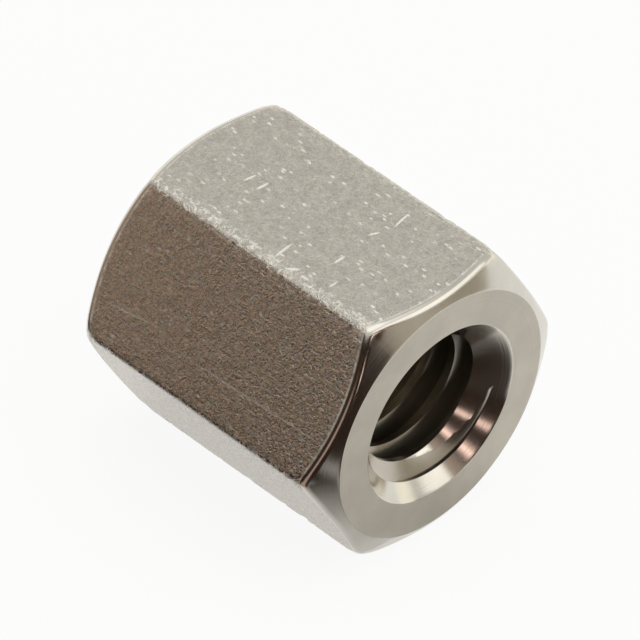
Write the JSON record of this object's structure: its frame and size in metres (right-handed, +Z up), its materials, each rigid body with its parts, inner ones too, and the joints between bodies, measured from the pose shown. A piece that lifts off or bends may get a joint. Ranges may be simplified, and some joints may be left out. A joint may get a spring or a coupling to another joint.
{
  "type": "hexagonal spacer stud",
  "caption": "Short hexagonal spacer stud, threaded right through for a screw at either end, with chamfered end faces and countersunk mouths.",
  "frame": {"origin": "middle of the flat that the stud lies on, below the middle of its length", "axes": "+X along the threaded bore, +Z up from the flat it lies on, +Y across the corners"},
  "size_m": [0.008, 0.008, 0.007],
  "materials": {
    "nickel": "satin nickel plate over brass, drawn flats and turned ends"
  },
  "bodies": {
    "root": {"spacer_stud": "nickel"}
  },
  "joints": []
}
